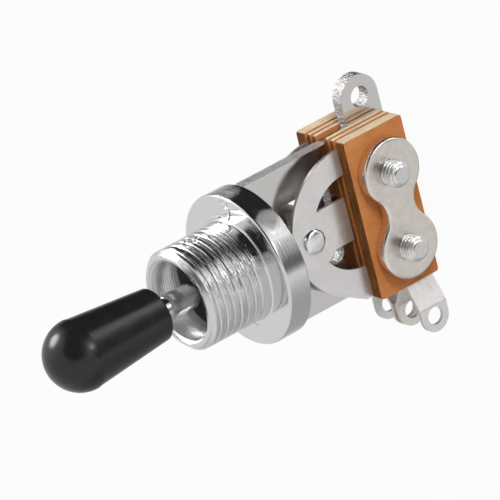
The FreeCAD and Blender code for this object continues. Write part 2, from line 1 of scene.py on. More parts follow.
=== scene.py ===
import json
import math
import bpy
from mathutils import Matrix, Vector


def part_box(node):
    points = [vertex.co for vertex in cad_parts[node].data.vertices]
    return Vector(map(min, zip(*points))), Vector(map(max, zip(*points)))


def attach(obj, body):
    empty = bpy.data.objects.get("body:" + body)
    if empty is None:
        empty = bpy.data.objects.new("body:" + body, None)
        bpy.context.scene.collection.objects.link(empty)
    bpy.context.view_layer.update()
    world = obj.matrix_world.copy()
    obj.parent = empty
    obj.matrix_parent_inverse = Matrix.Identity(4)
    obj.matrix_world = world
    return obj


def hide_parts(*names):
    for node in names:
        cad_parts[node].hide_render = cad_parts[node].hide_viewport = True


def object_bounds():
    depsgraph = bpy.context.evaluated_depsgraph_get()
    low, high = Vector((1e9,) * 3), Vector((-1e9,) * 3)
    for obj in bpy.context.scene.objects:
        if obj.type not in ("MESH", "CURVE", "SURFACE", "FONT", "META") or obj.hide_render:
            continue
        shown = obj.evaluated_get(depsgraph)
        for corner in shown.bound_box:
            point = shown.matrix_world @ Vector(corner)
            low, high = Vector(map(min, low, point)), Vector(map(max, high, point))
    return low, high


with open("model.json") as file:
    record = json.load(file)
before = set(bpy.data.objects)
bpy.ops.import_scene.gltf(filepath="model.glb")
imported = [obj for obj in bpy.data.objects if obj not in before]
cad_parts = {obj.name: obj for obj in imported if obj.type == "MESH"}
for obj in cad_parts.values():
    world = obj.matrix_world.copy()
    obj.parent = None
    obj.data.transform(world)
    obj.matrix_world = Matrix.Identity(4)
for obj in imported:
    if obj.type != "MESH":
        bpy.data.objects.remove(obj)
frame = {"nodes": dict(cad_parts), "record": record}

from types import SimpleNamespace

import bpy
import numpy as np
from bpy.props import FloatProperty, FloatVectorProperty, PointerProperty
from mathutils import Matrix, Vector

bl_info = {
    "name": "Selector Toggle Switch",
    "version": (1, 0, 0),
    "blender": (4, 5, 0),
    "location": "3D View > Sidebar > Switch",
    "description": "Threads, plating, wafers, moulded cap and studio for an open toggle switch",
    "category": "Object",
}

CAD_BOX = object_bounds()
MM = 0.001


def box_mm(node):
    """Lowest and highest corner of a CAD node in millimetres."""
    low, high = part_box(node)
    return np.array(low) / MM, np.array(high) / MM


MOUNTS = {mount["name"]: mount for mount in frame["record"]["mounts"]}
THREAD_RADIUS = MOUNTS["panel_thread"]["dims"]["r_mm"]
FLANGE_LOW, BUSHING_HIGH = box_mm("bushing")
PIN_LOW, PIN_HIGH = box_mm("pivot_pin")
SCREW_LOW, SCREW_HIGH = box_mm("clamp_screw_top")
CAP_LOW, CAP_HIGH = box_mm("lever_tip")
PLATE_LOW, _ = box_mm("clamp_plate")
LEVER_LOW, LEVER_HIGH = box_mm("lever")
PIVOT = (PIN_HIGH[2] + PIN_LOW[2]) / 2

# Steps round each turned piece
SCREW_STEPS, CAP_STEPS, LEVER_STEPS, RIVET_STEPS = 176, 144, 256, 96


def length(name, default_mm, description):
    """Property for a length, given in millimetres and kept in metres."""
    return FloatProperty(name=name, description=description, default=float(default_mm) * MM,
                         min=0.0, unit="LENGTH", subtype="DISTANCE", precision=6)


def colour(name, rgb, description):
    """Property for a linear colour."""
    return FloatVectorProperty(name=name, description=description, default=rgb, size=3,
                               min=0.0, max=1.0, subtype="COLOR")


def level(name, default, description):
    """Property for a plain number."""
    return FloatProperty(name=name, description=description, default=default, min=0.0)


class SwitchBushing(bpy.types.PropertyGroup):
    """Sizes of the threaded bushing."""
    barrel_radius: length("Barrel radius", THREAD_RADIUS, "Thread's major radius")
    barrel_wall: length("Barrel wall", 1.2, "From the bore to the major radius")
    thread_pitch: length("Thread pitch", 1.0, "Fine pitch of the panel thread")
    thread_depth: length("Thread depth", 0.13, "From crest to root")
    thread_crest: length("Thread crest", 0.6, "Width of the crest between two grooves")
    collar: length("Collar", 1.05, "Plain length between the flange and the thread")
    ring_pitch: length("Bore ring pitch", 0.32, "Spacing of the turning rings in the bore")
    ring_depth: length("Bore ring depth", 0.15, "Depth of the turning rings")
    ring_end: length("Bore ring end", 4.7, "Height at which the turning rings stop")
    root_round: length("Root round", 0.3, "Round between the barrel and the flange")
    mouth_chamfer: length("Mouth chamfer", 0.55, "Outer chamfer at the mouth")
    bore_chamfer: length("Bore chamfer", 0.3, "Inner chamfer at the mouth")
    edge_round: length("Edge round", 0.3, "Round on the flange's front edge")
    tenon_inner: length("Tenon inner face", 6.9, "Distance of the frame's tenons from the axis")
    tenon_width: length("Tenon width", 1.4, "Width of a tenon along Y")
    tenon_thickness: length("Tenon thickness", 1.6, "Thickness of the frame plate")
    clearance: length("Slot clearance", 0.05, "Clearance round a tenon")
    skin: length("Staked skin", 0.045, "Metal smeared over the end of a tenon")
    burr_depth: length("Burr depth", 0.4, "Depth of the rough patch on the thread")


class SwitchLever(bpy.types.PropertyGroup):
    """Sizes of the lever."""
    rod_radius: length("Rod radius", 1.5, "Radius of the rod")
    ball_radius: length("Ball radius", LEVER_HIGH[0], "Radius of the pivot ball")
    neck: length("Neck half width", 1.9, "Half width of the blade under the ball")
    neck_length: length("Neck length", 2.4, "From the pivot to the blade's taper")
    taper: length("Taper length", 1.3, "Length over which the blade widens")
    thickness: length("Blade thickness", 2.3612, "Thickness of the blade")
    corner: length("Blade corner", 0.6, "Round on the blade's corners")
    tip_round: length("Tip round", 0.25, "Round on the blade's end")
    relief: length("Relief", 0.1, "Fall of the rod's radius from its shoulder to the cap")
    shoulder: length("Shoulder", 1.4, "Distance of the shoulder from the cap")
    hole_radius: length("Hole radius", 1.02, "Cross hole for the pin")


class SwitchScrew(bpy.types.PropertyGroup):
    """Sizes of the clamp screws."""
    radius: length("Screw radius", 1.5, "Thread's major radius")
    thread_pitch: length("Thread pitch", 0.5, "Coarse pitch of the screw")
    thread_depth: length("Thread depth", 0.27, "From crest to root")
    tip_radius: length("Tip radius", 0.98, "Radius of the flat end")
    tip_chamfer: length("Tip chamfer", 0.5, "Length of the chamfer at the end")
    head_radius: length("Head radius", (SCREW_HIGH[1] - SCREW_LOW[1]) / 2, "Radius of the pan head")
    head_height: length("Head height", 1.7, "Height of the pan head")
    head_round: length("Head round", 0.7, "Round on the head's edge")
    recess_span: length("Recess half span", 1.5, "Reach of the cross recess")
    recess_width: length("Recess width", 0.55, "Width of each arm of the recess")
    recess_depth: length("Recess depth", 1.0, "Depth of the recess")


class SwitchRivet(bpy.types.PropertyGroup):
    """Sizes of the moving contacts' rivets."""
    seat: length("Head height", 0.75, "From the disc to the tallest the head may be")
    leaf: length("Leaf thickness", 0.4, "Thickness of the disc")
    button: length("Button radius", 1.2, "Radius of the contact button")
    shank: length("Shank radius", 0.8, "Radius of the shank")
    edge: length("Head round", 0.75, "Round on the head's edge")
    sag: length("Dome height", 0.05, "Rise of the shallow dome")
    drop: length("Drop", 0.22, "How far the dome's foot lies below the tallest height")


class SwitchCap(bpy.types.PropertyGroup):
    """Sizes of the moulded cap."""
    base_radius: length("Base radius", 3.18, "Radius above the base's round")
    base_round: length("Base round", 0.45, "Round at the base")
    rim: length("Rim", 0.06, "How far the rim at the shoulder stands out")
    socket_radius: length("Socket radius", 1.51, "Radius of the socket for the rod")
    socket_margin: length("Socket margin", 3.19, "Solid plastic above the socket")


class SwitchFinish(bpy.types.PropertyGroup):
    """Colours of the finishes, as linear values."""
    chrome: colour("Chrome", (0.70, 0.70, 0.70), "Bushing")
    lever: colour("Lever", (0.55, 0.55, 0.55), "Plating of the lever")
    bore: colour("Bore", (0.94, 0.935, 0.92), "Satin plating in the bore")
    nickel: colour("Nickel", (0.68, 0.665, 0.655), "Frame plate")
    leaf: colour("Leaf", (0.87, 0.85, 0.84), "Spring leaves")
    fixed_leaf: colour("Fixed leaf", (0.92, 0.875, 0.83), "Fixed leaves, warmer in tone")
    clamp: colour("Clamp plate", (0.82, 0.765, 0.715), "Clamp plate")
    screw: colour("Screw", (0.80, 0.795, 0.78), "Clamp screws")
    silver: colour("Contact", (0.86, 0.86, 0.855), "Contact rivets")
    resin: colour("Phenolic face", (0.76, 0.305, 0.10), "Pressed face of a wafer")
    resin_dark: colour("Phenolic shade", (0.62, 0.205, 0.055), "Darker resin")
    fibre: colour("Phenolic edge", (0.93, 0.76, 0.53), "Pale fibres of a cut edge")
    fibre_dark: colour("Phenolic edge shade", (0.54, 0.30, 0.14), "Resin between the fibres")
    # Painted shade: darker copies of the edge colours for the phenolic's cut edges that face along
    # Z
    painted_shade_front: colour("Phenolic front edge", (0.10, 0.030, 0.006), "Dull front edges")
    painted_shade_front_fibres: colour("Phenolic front fibres", (0.36, 0.14, 0.04), "Fibres of the front edges")
    cap: colour("Cap", (0.013, 0.013, 0.0135), "Black moulded plastic")
    floor: colour("Floor", (0.95, 0.95, 0.95), "Floor")


class SwitchStudio(bpy.types.PropertyGroup):
    """Levels of the studio."""
    base: level("Room level", 1.05, "Reflected room away from its bright and dark zones")
    ambient: level("Ambient level", 0.46, "Diffuse light that comes from all round")
    key: level("Key level", 0.66, "Level of the lamp above and to the right")
    front: level("Front level", 0.12, "Level of the lamp above and in front")
    fill: level("Fill level", 0.05, "Level of the lamp on the left")
    backdrop: level("Backdrop share", 0.95, "Share of plain white in the floor for the camera")


# Shapes

def in_mm(group):
    """Lengths of a property group in millimetres, under their own names."""
    return SimpleNamespace(**{name: getattr(group, name) / MM for name in group.__annotations__})


def spread(start, end, count):
    """Points on a straight run from start towards end, without the end itself."""
    t = np.linspace(0.0, 1.0, count, endpoint=False)[:, None]
    return np.array(start) * (1 - t) + np.array(end) * t


def chain(corners, counts):
    """Points along straight runs from corner to corner, with a count for each, without the end."""
    runs = zip(corners, corners[1:], counts)
    return np.concatenate([spread(*run) for run in runs])


def bend(centre, radius, start_deg, end_deg, count):
    """Points on an arc about a centre from one angle towards another, without the last."""
    t = np.radians(np.linspace(start_deg, end_deg, count, endpoint=False))
    return np.stack([centre[0] + radius * np.cos(t), centre[1] + radius * np.sin(t)], axis=1)


def turned(profile, turns):
    """Radius, height and angle grids of a profile carried round the Z axis, at a number of equal
    steps or at given angles."""
    angle = np.arange(turns) * 2 * math.pi / turns if isinstance(turns, int) else turns
    radius = np.repeat(profile[:, :1], len(angle), axis=1)
    height = np.repeat(profile[:, 1:], len(angle), axis=1)
    return radius, height, np.broadcast_to(angle, radius.shape)


def wrapped(radius, height, angle):
    """Point grid (r cos t, r sin t, z)."""
    return np.stack([radius * np.cos(angle), radius * np.sin(angle), height], axis=-1)


def laid(grid, centre, side=1):
    """Point grid turned about the Z axis, laid along X through a centre, towards +X or -X."""
    x, y, z = np.moveaxis(grid, -1, 0)
    return np.stack([side * z, centre[1] + x, centre[2] + y], axis=-1)


def smooth(value, low, high):
    """Smooth step 3x^2 - 2x^3 from 0 at low to 1 at high."""
    x = np.clip((value - low) / (high - low), 0.0, 1.0)
    return x * x * (3 - 2 * x)


def helix_cut(height, angle, pitch, depth, crest):
    """Depth below the crest of a right-handed thread: a smoothed V, as wide as the pitch less the
    crest, in the phase z/pitch - t/2pi."""
    phase = np.mod(height / pitch - angle / (2 * math.pi), 1.0)
    return depth * (1 - smooth(np.abs(phase - 0.5), 0.03, (1 - crest / pitch) / 2))


def line_marks(x, y, marks):
    """Sum over broken lines of height * exp(-(d / width)^2), with d the distance to the line."""
    total = np.zeros(x.shape)
    for height, width, points in marks:
        nearest = np.full(x.shape, np.inf)
        for (x0, y0), (x1, y1) in zip(points, points[1:]):
            run = np.array((x1 - x0, y1 - y0))
            along = np.clip(((x - x0) * run[0] + (y - y0) * run[1]) / (run @ run), 0.0, 1.0)
            off = np.hypot(x - x0 - along * run[0], y - y0 - along * run[1])
            nearest = np.minimum(nearest, off)
        total += height * np.exp(-(nearest / width) ** 2)
    return total


def lumps(u, v, count, spread_u, spread_v, size, seed):
    """Sum of round bumps of both signs, exp(-d^2 / size^2), strewn over an ellipse about (0, 0)."""
    rng = np.random.default_rng(seed)
    total = np.zeros(u.shape)
    for _ in range(count):
        turn, reach = rng.uniform(0, 2 * math.pi), math.sqrt(rng.uniform(0, 1))
        cu, cv = spread_u * reach * math.cos(turn), spread_v * reach * math.sin(turn)
        wide = size * rng.uniform(0.6, 1.3)
        total += rng.uniform(-1, 1) * np.exp(-((u - cu) ** 2 + (v - cv) ** 2) / wide ** 2)
    return total


def grid_mesh(name, grid, ring):
    """Closed mesh from a grid (row, turn, xyz) in millimetres. The turn closes on itself. The rows
    close into a ring too, or else the first and last rows are each a single pole."""
    if ring:
        points = grid.reshape(-1, 3)
        here = np.arange(len(points)).reshape(grid.shape[:2])
        there = np.roll(here, -1, axis=0)
    else:
        inner = grid[1:-1]
        points = np.concatenate([inner.reshape(-1, 3), grid[:1, 0], grid[-1:, 0]])
        index = np.arange(inner.shape[0] * inner.shape[1]).reshape(inner.shape[:2])
        here, there = index[:-1], index[1:]
    beside, beyond = np.roll(here, -1, axis=1), np.roll(there, -1, axis=1)
    quads = np.stack([here, beside, beyond, there], axis=-1).reshape(-1, 4)
    faces = quads.tolist()
    if not ring:
        first, last = len(points) - 2, len(points) - 1
        for pole, row, flip in ((first, index[0], True), (last, index[-1], False)):
            ahead = np.roll(row, -1)
            pair = (ahead, row) if flip else (row, ahead)
            faces += np.stack([pair[0], pair[1], np.full_like(row, pole)], axis=-1).tolist()
    corner = points[quads]
    swept = np.cross(corner[:, 2] - corner[:, 0], corner[:, 3] - corner[:, 1])
    if (corner.mean(axis=1) * swept).sum() < 0:
        faces = [face[::-1] for face in faces]
    mesh = bpy.data.meshes.new(name)
    mesh.from_pydata((points * MM).tolist(), [], faces)
    mesh.validate()
    mesh.update()
    return mesh


def prism(outline, sweep):
    """Object for a closed prism: a flat outline and its copy, joined by side faces."""
    count = len(outline)
    low = np.array(outline, float)
    points = np.concatenate([low, low + np.array(sweep, float)])
    ring = np.arange(count)
    ahead = np.roll(ring, -1)
    faces = np.stack([ring, ahead, ahead + count, ring + count], axis=1).tolist()
    faces += [ring[::-1].tolist(), (ring + count).tolist()]
    mesh = bpy.data.meshes.new("cutter")
    mesh.from_pydata((points * MM).tolist(), [], faces)
    mesh.update()
    return bpy.data.objects.new("cutter", mesh)


def cut_out(mesh, cutters):
    """Mesh with the cutters taken away. The cutters are removed afterwards."""
    context = bpy.context
    blank = bpy.data.objects.new("blank", mesh)
    context.scene.collection.objects.link(blank)
    for cutter in cutters:
        context.scene.collection.objects.link(cutter)
        cut = blank.modifiers.new("cut", "BOOLEAN")
        cut.operation, cut.solver, cut.object = "DIFFERENCE", "EXACT", cutter
    context.view_layer.update()
    carved = bpy.data.meshes.new_from_object(blank.evaluated_get(context.evaluated_depsgraph_get()))
    for thing in [blank] + cutters:
        bpy.data.objects.remove(thing)
    if len(carved.vertices) < len(mesh.vertices) // 2:
        raise RuntimeError("cutting lost the body of " + mesh.name)
    carved.materials.clear()
    return carved


def soften(mesh, degrees=32.0):
    """Mesh with smooth shading, and sharp edges past an angle."""
    mesh.shade_smooth()
    mesh.set_sharp_from_angle(angle=math.radians(degrees))
    return mesh


def add_piece(name, mesh, body, slot, material, *nodes):
    """Object at the origin for a new mesh, which rides on a body and stands for CAD nodes."""
    piece = bpy.data.objects.new(name, mesh)
    bpy.context.scene.collection.objects.link(piece)
    mesh.materials.append(material)
    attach(piece, body)
    if nodes:
        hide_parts(*nodes)
    return piece


def dress(material, *nodes):
    """Gives carried-over CAD nodes a finish."""
    for node in nodes:
        mesh = frame["nodes"][node].data
        mesh.materials.clear()
        mesh.materials.append(material)


# Nodes

class Web:
    """A node tree, with short ways to add nodes and to link them."""

    def __init__(self, tree):
        self.tree = tree

    def feed(self, target, value):
        """Links an output to an input socket, or sets the socket's own value."""
        if isinstance(value, bpy.types.NodeSocket):
            self.tree.links.new(value, target)
        elif target.type == "RGBA":
            target.default_value = (*value, 1.0)
        else:
            target.default_value = value

    def add(self, kind, inputs=None, **settings):
        """New shader node with its attributes set and its inputs fed."""
        made = self.tree.nodes.new("ShaderNode" + kind)
        for key, value in settings.items():
            setattr(made, key, value)
        for key, value in (inputs or {}).items():
            self.feed(made.inputs[key], value)
        return made

    def maths(self, operation, first, second=0.0):
        """Arithmetic on two values, either of which may be a socket."""
        return self.add("Math", {0: first, 1: second}, operation=operation).outputs[0]

    def times(self, first, second):
        """Product of two values."""
        return self.maths("MULTIPLY", first, second)

    def plus(self, first, second):
        """Sum of two values."""
        return self.maths("ADD", first, second)

    def rest(self, value):
        """One less a value."""
        return self.maths("SUBTRACT", 1.0, value)

    def span(self, value, low, high, out_low=0.0, out_high=1.0, curve="LINEAR"):
        """Value carried from one range to another, clamped."""
        inputs = {"Value": value, "From Min": low, "From Max": high,
                  "To Min": out_low, "To Max": out_high}
        return self.add("MapRange", inputs, interpolation_type=curve).outputs["Result"]

    def reflected(self, path):
        """1 for the rays that metal or glass sends out."""
        glossy, clear = (path.outputs[f"Is {kind} Ray"] for kind in ("Glossy", "Transmission"))
        return self.maths("MAXIMUM", glossy, clear)

    def mix_shaders(self, share, first, second):
        """Shader between two shaders."""
        return self.add("MixShader", {0: share, 1: first, 2: second}).outputs[0]


class Recipe(Web):
    """One finish: a Principled surface and the nodes that drive it. Lengths are in millimetres."""

    def __init__(self, name, base, roughness, metallic=1.0, specular=0.5):
        self.material = bpy.data.materials.new(name)
        self.material.use_nodes = True
        super().__init__(self.material.node_tree)
        self.surface = self.tree.nodes["Principled BSDF"].inputs
        for key, value in (("Base Color", base), ("Roughness", roughness), ("Metallic", metallic),
                           ("Specular IOR Level", specular)):
            self.feed(self.surface[key], value)
        self.coordinates = self.add("TexCoord").outputs
        self.place = self.scaled(1.0, 1.0, 1.0)

    def scaled(self, *scale):
        """Object coordinates, stretched along each axis."""
        inputs = {0: self.coordinates["Object"], 1: [value / MM for value in scale]}
        return self.add("VectorMath", inputs, operation="MULTIPLY").outputs[0]

    def noise(self, waves, detail, vector=None, roughness=0.55):
        """Noise value between about 0.3 and 0.7 with a given count of waves per millimetre."""
        inputs = {"Vector": vector or self.place, "Scale": waves, "Detail": detail,
                  "Roughness": roughness}
        return self.add("TexNoise", inputs).outputs["Fac"]

    def blend(self, share, first, second):
        """Colour between two colours or colour sockets."""
        return self.add("Mix", {0: share, 6: first, 7: second}, data_type="RGBA").outputs[2]

    def near(self, centre, inner, outer):
        """Share from 1 within one distance of a point to 0 past another."""
        made = self.add("VectorMath", {0: self.place, 1: centre}, operation="DISTANCE")
        return self.span(made.outputs["Value"], inner, outer, 1.0, 0.0)

    def facing(self, axis):
        """Share from 0 to 1 by how squarely the surface faces along an axis of the object."""
        parts = self.add("SeparateXYZ", {0: self.coordinates["Normal"]})
        return self.span(self.maths("ABSOLUTE", parts.outputs[axis]), 0.5, 0.8)

    def paint(self, colour_socket):
        """Drives the base colour."""
        self.feed(self.surface["Base Color"], colour_socket)

    def roughen(self, value):
        """Drives the roughness."""
        self.feed(self.surface["Roughness"], value)

    def emboss(self, height, depth):
        """Adds a bump of a given depth over the bumps added before."""
        made = self.add("Bump", {"Strength": 1.0, "Distance": depth * MM, "Height": height})
        normal = self.surface["Normal"]
        if normal.is_linked:
            self.feed(made.inputs["Normal"], normal.links[0].from_socket)
        self.feed(normal, made.outputs["Normal"])


def shade(tone, share):
    """A share of a colour's brightness."""
    return [share * part for part in tone]


# Finishes

# Rough spots of the bushing's blank: centre, full within, gone past
ROUGH_SPOTS = (
    ((0.5, 9.1, -1.0), 0.6, 1.9),
    ((6.2, 6.6, -1.6), 0.5, 2.0),
    ((-0.3, 6.0, 4.9), 0.4, 1.3),
    ((5.5, 2.3, 0.6), 0.2, 1.0),
)


def chrome_finish(colours):
    """Bright plating over turned brass: fine rings about the axis, a rougher bore, and pits that
    gather where the blank was rough. Below its turned rings the bore is painted dark as painted
    shade."""
    recipe = Recipe("bushing_chrome_finish", colours.chrome, 0.1)
    x, y, z = recipe.add("SeparateXYZ", {0: recipe.place}).outputs
    squares = [recipe.maths("POWER", part, 2.0) for part in (x, y)]
    radius = recipe.maths("SQRT", recipe.plus(*squares))
    inside = recipe.span(radius, 5.0, 5.1, 1.0, 0.0)
    turned_zone = recipe.times(inside, recipe.span(z, 4.6, 4.8))
    threaded_zone = recipe.times(recipe.rest(inside), recipe.span(z, 0.8, 1.6))
    mouth = recipe.span(z, 7.9, 8.2)
    rough = recipe.span(recipe.noise(1.3, 4.0), 0.35, 0.7, 0.05, 0.13)
    rough = recipe.plus(rough, recipe.times(inside, 0.26))
    recipe.roughen(recipe.plus(rough, recipe.times(mouth, 0.12)))
    recipe.feed(recipe.surface["Metallic"], recipe.rest(recipe.times(inside, 0.25)))
    recipe.emboss(recipe.noise(9.0, 2.0, recipe.scaled(0.02, 0.02, 1.0)), 0.012)
    streaks = recipe.span(recipe.noise(3.4, 4.0, recipe.scaled(0.025, 0.025, 1.0), 0.7), 0.45, 0.62)
    recipe.emboss(recipe.times(threaded_zone, streaks), 0.034)
    worn = 0.0
    for spot in ROUGH_SPOTS:
        worn = recipe.maths("MAXIMUM", recipe.near(*spot), worn)
    grain = recipe.plus(recipe.noise(5.5, 2.0), recipe.times(worn, 0.2))
    pits = recipe.span(grain, 0.72, 0.8)
    recipe.emboss(recipe.rest(pits), 0.05)
    recipe.emboss(recipe.times(worn, recipe.noise(10.0, 2.0)), 0.11)
    # Painted shade: the bore below its turned rings takes a third of the bore's tone
    plate = recipe.blend(inside, colours.chrome, shade(colours.bore, 0.36))
    plate = recipe.blend(turned_zone, plate, colours.bore)
    recipe.paint(recipe.blend(pits, plate, shade(colours.chrome, 0.55)))
    return recipe.material


def frame_finish(colours):
    """Bright nickel on punched steel: faint rolling grain on the faces, torn and speckled edges."""
    recipe = Recipe("frame_nickel_finish", colours.nickel, 0.25)
    edge = recipe.rest(recipe.facing("X"))
    grain = recipe.noise(3.0, 3.0, recipe.scaled(1.0, 1.0, 0.12))
    tear = recipe.noise(4.0, 4.0, recipe.scaled(0.35, 1.6, 1.6))
    torn = recipe.times(edge, recipe.span(recipe.noise(6.0, 3.0), 0.5, 0.62))
    sheared = recipe.blend(recipe.times(edge, 0.7), colours.nickel, shade(colours.nickel, 0.62))
    recipe.paint(recipe.blend(torn, sheared, shade(colours.nickel, 0.36)))
    rough = recipe.span(grain, 0.3, 0.7, 0.12, 0.2)
    recipe.roughen(recipe.plus(rough, recipe.times(edge, 0.2)))
    recipe.emboss(grain, 0.004)
    recipe.emboss(recipe.times(edge, tear), 0.2)
    return recipe.material


def leaf_finish(name, tone):
    """Satin nickel-silver sheet: rolling grain along Y and a plain sheared edge, painted darker,
    partly as the edge's own tone and partly as painted shade.
    """
    recipe = Recipe(name, tone, 0.3, metallic=0.8)
    edge = recipe.rest(recipe.facing("X"))
    grain = recipe.noise(5.0, 3.0, recipe.scaled(1.0, 0.08, 1.0))
    rough = recipe.span(grain, 0.3, 0.7, 0.26, 0.34)
    recipe.roughen(recipe.plus(rough, recipe.times(edge, 0.1)))
    tint = recipe.blend(recipe.span(recipe.noise(0.5, 2.0), 0.35, 0.65), tone, shade(tone, 0.93))
    # The darker edge is partly the sheared edge's own tone and partly painted shade
    recipe.paint(recipe.blend(recipe.times(edge, 0.8), tint, shade(tone, 0.5)))
    recipe.emboss(grain, 0.003)
    recipe.emboss(recipe.times(edge, recipe.noise(6.0, 3.0)), 0.04)
    return recipe.material


def clouded_finish(name, tone, waves, rough, dull=None, bumps=(), **settings):
    """Finish in soft clouds of noise, with a count of waves per millimetre. The clouds carry a
    range of noise, the first two values of rough, to a range of roughness, the last two. They can
    bring in another shade too. Each bump is noise with its waves, detail, stretch and depth."""
    low, high = rough[2:]
    recipe = Recipe(name, tone, (low + high) / 2, **settings)
    cloud = recipe.noise(waves, 3.0)
    recipe.roughen(recipe.span(cloud, *rough))
    if dull:
        start, end, share = dull
        recipe.paint(recipe.blend(recipe.span(cloud, start, end), tone, shade(tone, share)))
    for bump_waves, detail, stretch, depth in bumps:
        recipe.emboss(recipe.noise(bump_waves, detail, recipe.scaled(*stretch)), depth)
    return recipe.material


def clamp_finish(colours):
    """Tumbled nickel plate, with a soft uneven surface."""
    bumps = ((1.6, 2.0, (1, 1, 1), 0.01), (9.0, 2.0, (1, 1, 1), 0.0015))
    return clouded_finish("clamp_nickel_finish", colours.clamp, 1.2, (0.3, 0.7, 0.24, 0.34),
                          (0.35, 0.7, 0.94), bumps)


def screw_finish(colours):
    """Zinc-plated steel with a cloudy gloss."""
    return clouded_finish("screw_zinc_finish", colours.screw, 3.0, (0.3, 0.7, 0.26, 0.36),
                          (0.4, 0.75, 0.86), ((4.0, 2.0, (1, 1, 1), 0.004),))


def contact_finish(colours):
    """Bright silver rivet with faint marks from riveting."""
    return clouded_finish("contact_silver_finish", colours.silver, 2.0, (0.3, 0.7, 0.16, 0.26),
                          bumps=((5.0, 2.0, (1, 1, 1), 0.01),))


def lever_finish(colours):
    """Bright plated rod with turning lines round it."""
    bumps = ((6.0, 2.0, (0.05, 0.05, 1), 0.004), (1.2, 2.0, (1, 1, 1), 0.02))
    return clouded_finish("lever_chrome_finish", colours.lever, 1.5, (0.3, 0.7, 0.05, 0.12),
                          bumps=bumps)


def pin_finish(colours):
    """Plain ground steel."""
    return clouded_finish("pin_steel_finish", shade(colours.screw, 0.75), 4.0,
                          (0.3, 0.7, 0.25, 0.4), bumps=((8.0, 2.0, (1, 0.05, 1), 0.006),))


def cap_finish(colours):
    """Black moulded plastic, semi-gloss, with a fine grain and faint handling marks."""
    return clouded_finish("tip_black_finish", colours.cap, 0.6, (0.35, 0.7, 0.17, 0.24),
                          (0.4, 0.7, 1.35), ((6.0, 3.0, (1, 1, 1), 0.004),),
                          metallic=0.0, specular=0.42)


def phenolic_finish(colours):
    """Paper phenolic: a smooth mottled face, and cut edges of pale fibre layers in darker resin.
    Where the edges face along Z, towards the lever, painted shade turns them a dull dark brown."""
    recipe = Recipe("phenolic_finish", colours.resin, 0.5, metallic=0.0, specular=0.2)
    face = recipe.facing("X")
    cloud = recipe.noise(0.35, 3.0)
    fleck = recipe.noise(3.5, 3.0, recipe.scaled(1.0, 0.3, 1.0))
    skin = recipe.blend(recipe.span(cloud, 0.35, 0.72), colours.resin, colours.resin_dark)
    skin = recipe.blend(recipe.span(fleck, 0.55, 0.8, 0.0, 0.25), skin, colours.resin_dark)
    layers = recipe.times(recipe.noise(1.0, 4.0, recipe.scaled(7.0, 0.35, 0.35)), 0.65)
    fray = recipe.times(recipe.noise(2.2, 4.0, recipe.scaled(2.5, 1.0, 1.0)), 0.35)
    strata = recipe.plus(layers, fray)
    rim = recipe.blend(recipe.span(strata, 0.33, 0.5), colours.fibre_dark, colours.fibre)
    # Painted shade: the edges that face along Z get darker copies of the edge colours
    front = recipe.blend(recipe.span(strata, 0.36, 0.6), colours.painted_shade_front, colours.painted_shade_front_fibres)
    recipe.paint(recipe.blend(face, recipe.blend(recipe.facing("Z"), rim, front), skin))
    recipe.roughen(recipe.span(face, 0.0, 1.0, 0.8, 0.55))
    recipe.emboss(recipe.times(recipe.rest(face), strata), 0.16)
    recipe.emboss(cloud, 0.02)
    return recipe.material


def sleeve_finish(colours):
    """Rolled phenolic tube."""
    recipe = Recipe("sleeve_phenolic_finish", colours.resin_dark, 0.55, metallic=0.0)
    wound = recipe.noise(2.0, 3.0, recipe.scaled(0.4, 3.0, 3.0))
    share = recipe.span(wound, 0.35, 0.65)
    recipe.paint(recipe.blend(share, colours.resin_dark, colours.fibre_dark))
    recipe.emboss(wound, 0.02)
    return recipe.material


# Pieces

